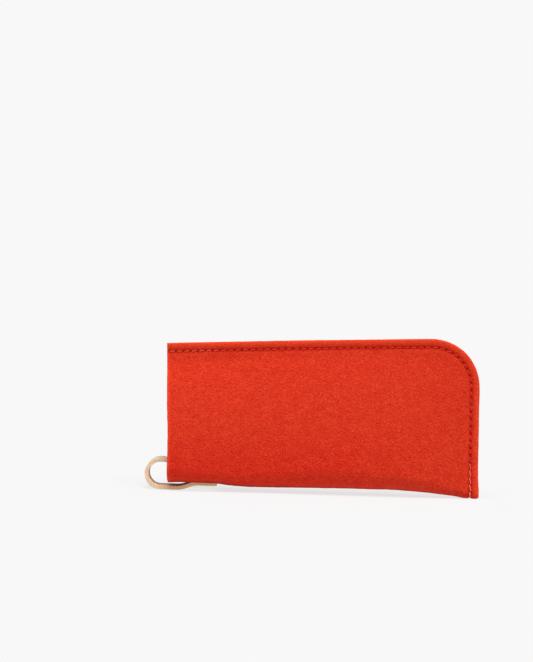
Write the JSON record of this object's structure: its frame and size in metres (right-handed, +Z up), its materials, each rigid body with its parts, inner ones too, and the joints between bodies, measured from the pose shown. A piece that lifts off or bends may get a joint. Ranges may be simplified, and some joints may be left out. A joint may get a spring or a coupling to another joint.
{
  "type": "eyeglasses case",
  "caption": "Soft felt sleeve for folded glasses, open at one end, with a sewn round corner and a leather strap loop at the mouth.",
  "frame": {"origin": "bottom centre of the whole object's bounding box, on the surface it stands on", "axes": "+X along the sleeve from the open mouth to the closed end, front panel faces -Y, +Z up"},
  "size_m": [0.1902, 0.0332, 0.09],
  "materials": {
    "felt": "thick orange-red wool felt, matte and fibrous",
    "thread": "tone-on-tone twisted sewing thread",
    "leather": "natural undyed vegetable-tanned leather with raw cut edges",
    "strap_thread": "natural linen-coloured sewing thread"
  },
  "bodies": {
    "case": {"felt_body": "felt", "seam_needle_thread": "thread", "seam_bobbin_thread": "thread", "strap_needle_thread": "strap_thread", "strap_bobbin_thread": "strap_thread"},
    "loop": {"leather_strap": "leather"}
  },
  "joints": [
    {"name": "loop_bend", "type": "hinge", "parent": "case", "child": "loop", "pos_m": [-0.0795, 0, 0.002], "axis": [0, 1, 0], "range_deg": [0, 25], "stiffness_Nm_per_rad": 0.05, "deforming": ["leather_strap"]}
  ]
}
